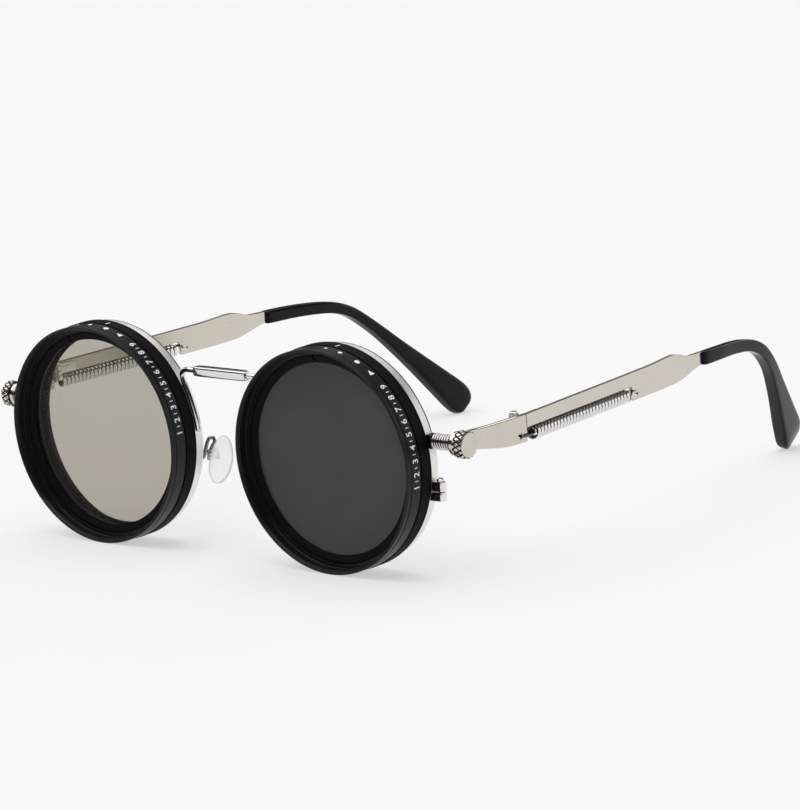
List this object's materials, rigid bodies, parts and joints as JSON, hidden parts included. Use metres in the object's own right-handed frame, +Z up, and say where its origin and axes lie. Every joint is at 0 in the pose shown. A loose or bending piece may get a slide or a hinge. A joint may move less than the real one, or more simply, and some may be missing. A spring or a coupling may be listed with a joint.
{
  "type": "sunglasses",
  "caption": "Round sunglasses with turning black dimmer rings over polarising lenses, flat silver temples with coil springs and black ear tips.",
  "frame": {"origin": "centre of the footprint, on the plane the two ring bottoms and the two ear tips rest on", "axes": "+X towards the wearer's left, +Y from the lenses back along the temples, +Z up; the lenses face -Y"},
  "size_m": [0.1546, 0.1582, 0.0532],
  "materials": {
    "silver_metal": "pale warm silver, satin polished",
    "steel": "bright plain steel, polished wire and screws",
    "black_metal": "satin black anodised ring",
    "dark_lens": "neutral grey polarising disc, polished",
    "clear_lens": "light grey polarising disc, polished",
    "rear_lens": "light grey polarising disc, polished",
    "tip_plastic": "glossy black acetate",
    "pad_silicone": "clear soft silicone"
  },
  "bodies": {
    "frame": {"bridge_wire": "silver_metal", "bridge_bar": "silver_metal", "left_rim": "silver_metal", "left_closing_block_upper": "silver_metal", "left_closing_block_lower": "silver_metal", "left_closing_screw": "steel", "left_base_ring": "black_metal", "left_rear_lens": "rear_lens", "left_snap_ring": "steel", "left_end_block": "silver_metal", "left_end_stud": "steel", "left_end_plate": "silver_metal", "left_hinge_leaf_front": "silver_metal", "left_hinge_screw": "steel", "left_nose_pad_arm": "silver_metal", "left_nose_pad_screw": "steel", "right_rim": "silver_metal", "right_closing_block_upper": "silver_metal", "right_closing_block_lower": "silver_metal", "right_closing_screw": "steel", "right_base_ring": "black_metal", "right_rear_lens": "rear_lens", "right_snap_ring": "steel", "right_end_block": "silver_metal", "right_end_stud": "steel", "right_end_plate": "silver_metal", "right_hinge_leaf_front": "silver_metal", "right_hinge_screw": "steel", "right_nose_pad_arm": "silver_metal", "right_nose_pad_screw": "steel"},
    "left_dial": {"left_dial_ring": "black_metal", "left_front_lens": "dark_lens", "left_front_retainer": "black_metal"},
    "left_nut": {"left_thumb_nut": "silver_metal"},
    "left_temple": {"left_hinge_leaf_temple": "silver_metal", "left_temple": "silver_metal", "left_temple_tip": "tip_plastic", "left_spring": "steel"},
    "left_pad": {"left_nose_pad": "pad_silicone"},
    "right_dial": {"right_dial_ring": "black_metal", "right_front_lens": "clear_lens", "right_front_retainer": "black_metal"},
    "right_nut": {"right_thumb_nut": "silver_metal"},
    "right_temple": {"right_hinge_leaf_temple": "silver_metal", "right_temple": "silver_metal", "right_temple_tip": "tip_plastic", "right_spring": "steel"},
    "right_pad": {"right_nose_pad": "pad_silicone"}
  },
  "joints": [
    {"name": "left_temple_fold", "type": "hinge", "parent": "frame", "child": "left_temple", "pos_m": [0.0733, -0.05265, 0.03409], "axis": [0, -0.0262, 0.9997], "range_deg": [0, 86], "deforming": ["left_spring"]},
    {"name": "left_dial_turn", "type": "hinge", "parent": "frame", "child": "left_dial", "pos_m": [0.03655, -0.07845, 0.02642], "axis": [0, 0.9997, 0.0262], "range_deg": [-90, 0]},
    {"name": "left_nut_turn", "type": "hinge", "parent": "frame", "child": "left_nut", "pos_m": [0.07365, -0.069, 0.03192], "axis": [1, 0, 0], "range_deg": [-180, 180]},
    {"name": "left_pad_rock", "type": "hinge", "parent": "frame", "child": "left_pad", "pos_m": [0.01055, -0.06411, 0.02119], "axis": [0, 0.9997, 0.0262], "range_deg": [-10, 10]},
    {"name": "right_temple_fold", "type": "hinge", "parent": "frame", "child": "right_temple", "pos_m": [-0.0733, -0.05265, 0.03409], "axis": [0, 0.0262, -0.9997], "range_deg": [0, 80], "deforming": ["right_spring"]},
    {"name": "right_dial_turn", "type": "hinge", "parent": "frame", "child": "right_dial", "pos_m": [-0.03655, -0.07845, 0.02642], "axis": [0, 0.9997, 0.0262], "range_deg": [0, 90]},
    {"name": "right_nut_turn", "type": "hinge", "parent": "frame", "child": "right_nut", "pos_m": [-0.07365, -0.069, 0.03192], "axis": [-1, 0, 0], "range_deg": [-180, 180]},
    {"name": "right_pad_rock", "type": "hinge", "parent": "frame", "child": "right_pad", "pos_m": [-0.01055, -0.06411, 0.02119], "axis": [0, 0.9997, 0.0262], "range_deg": [-10, 10]}
  ]
}
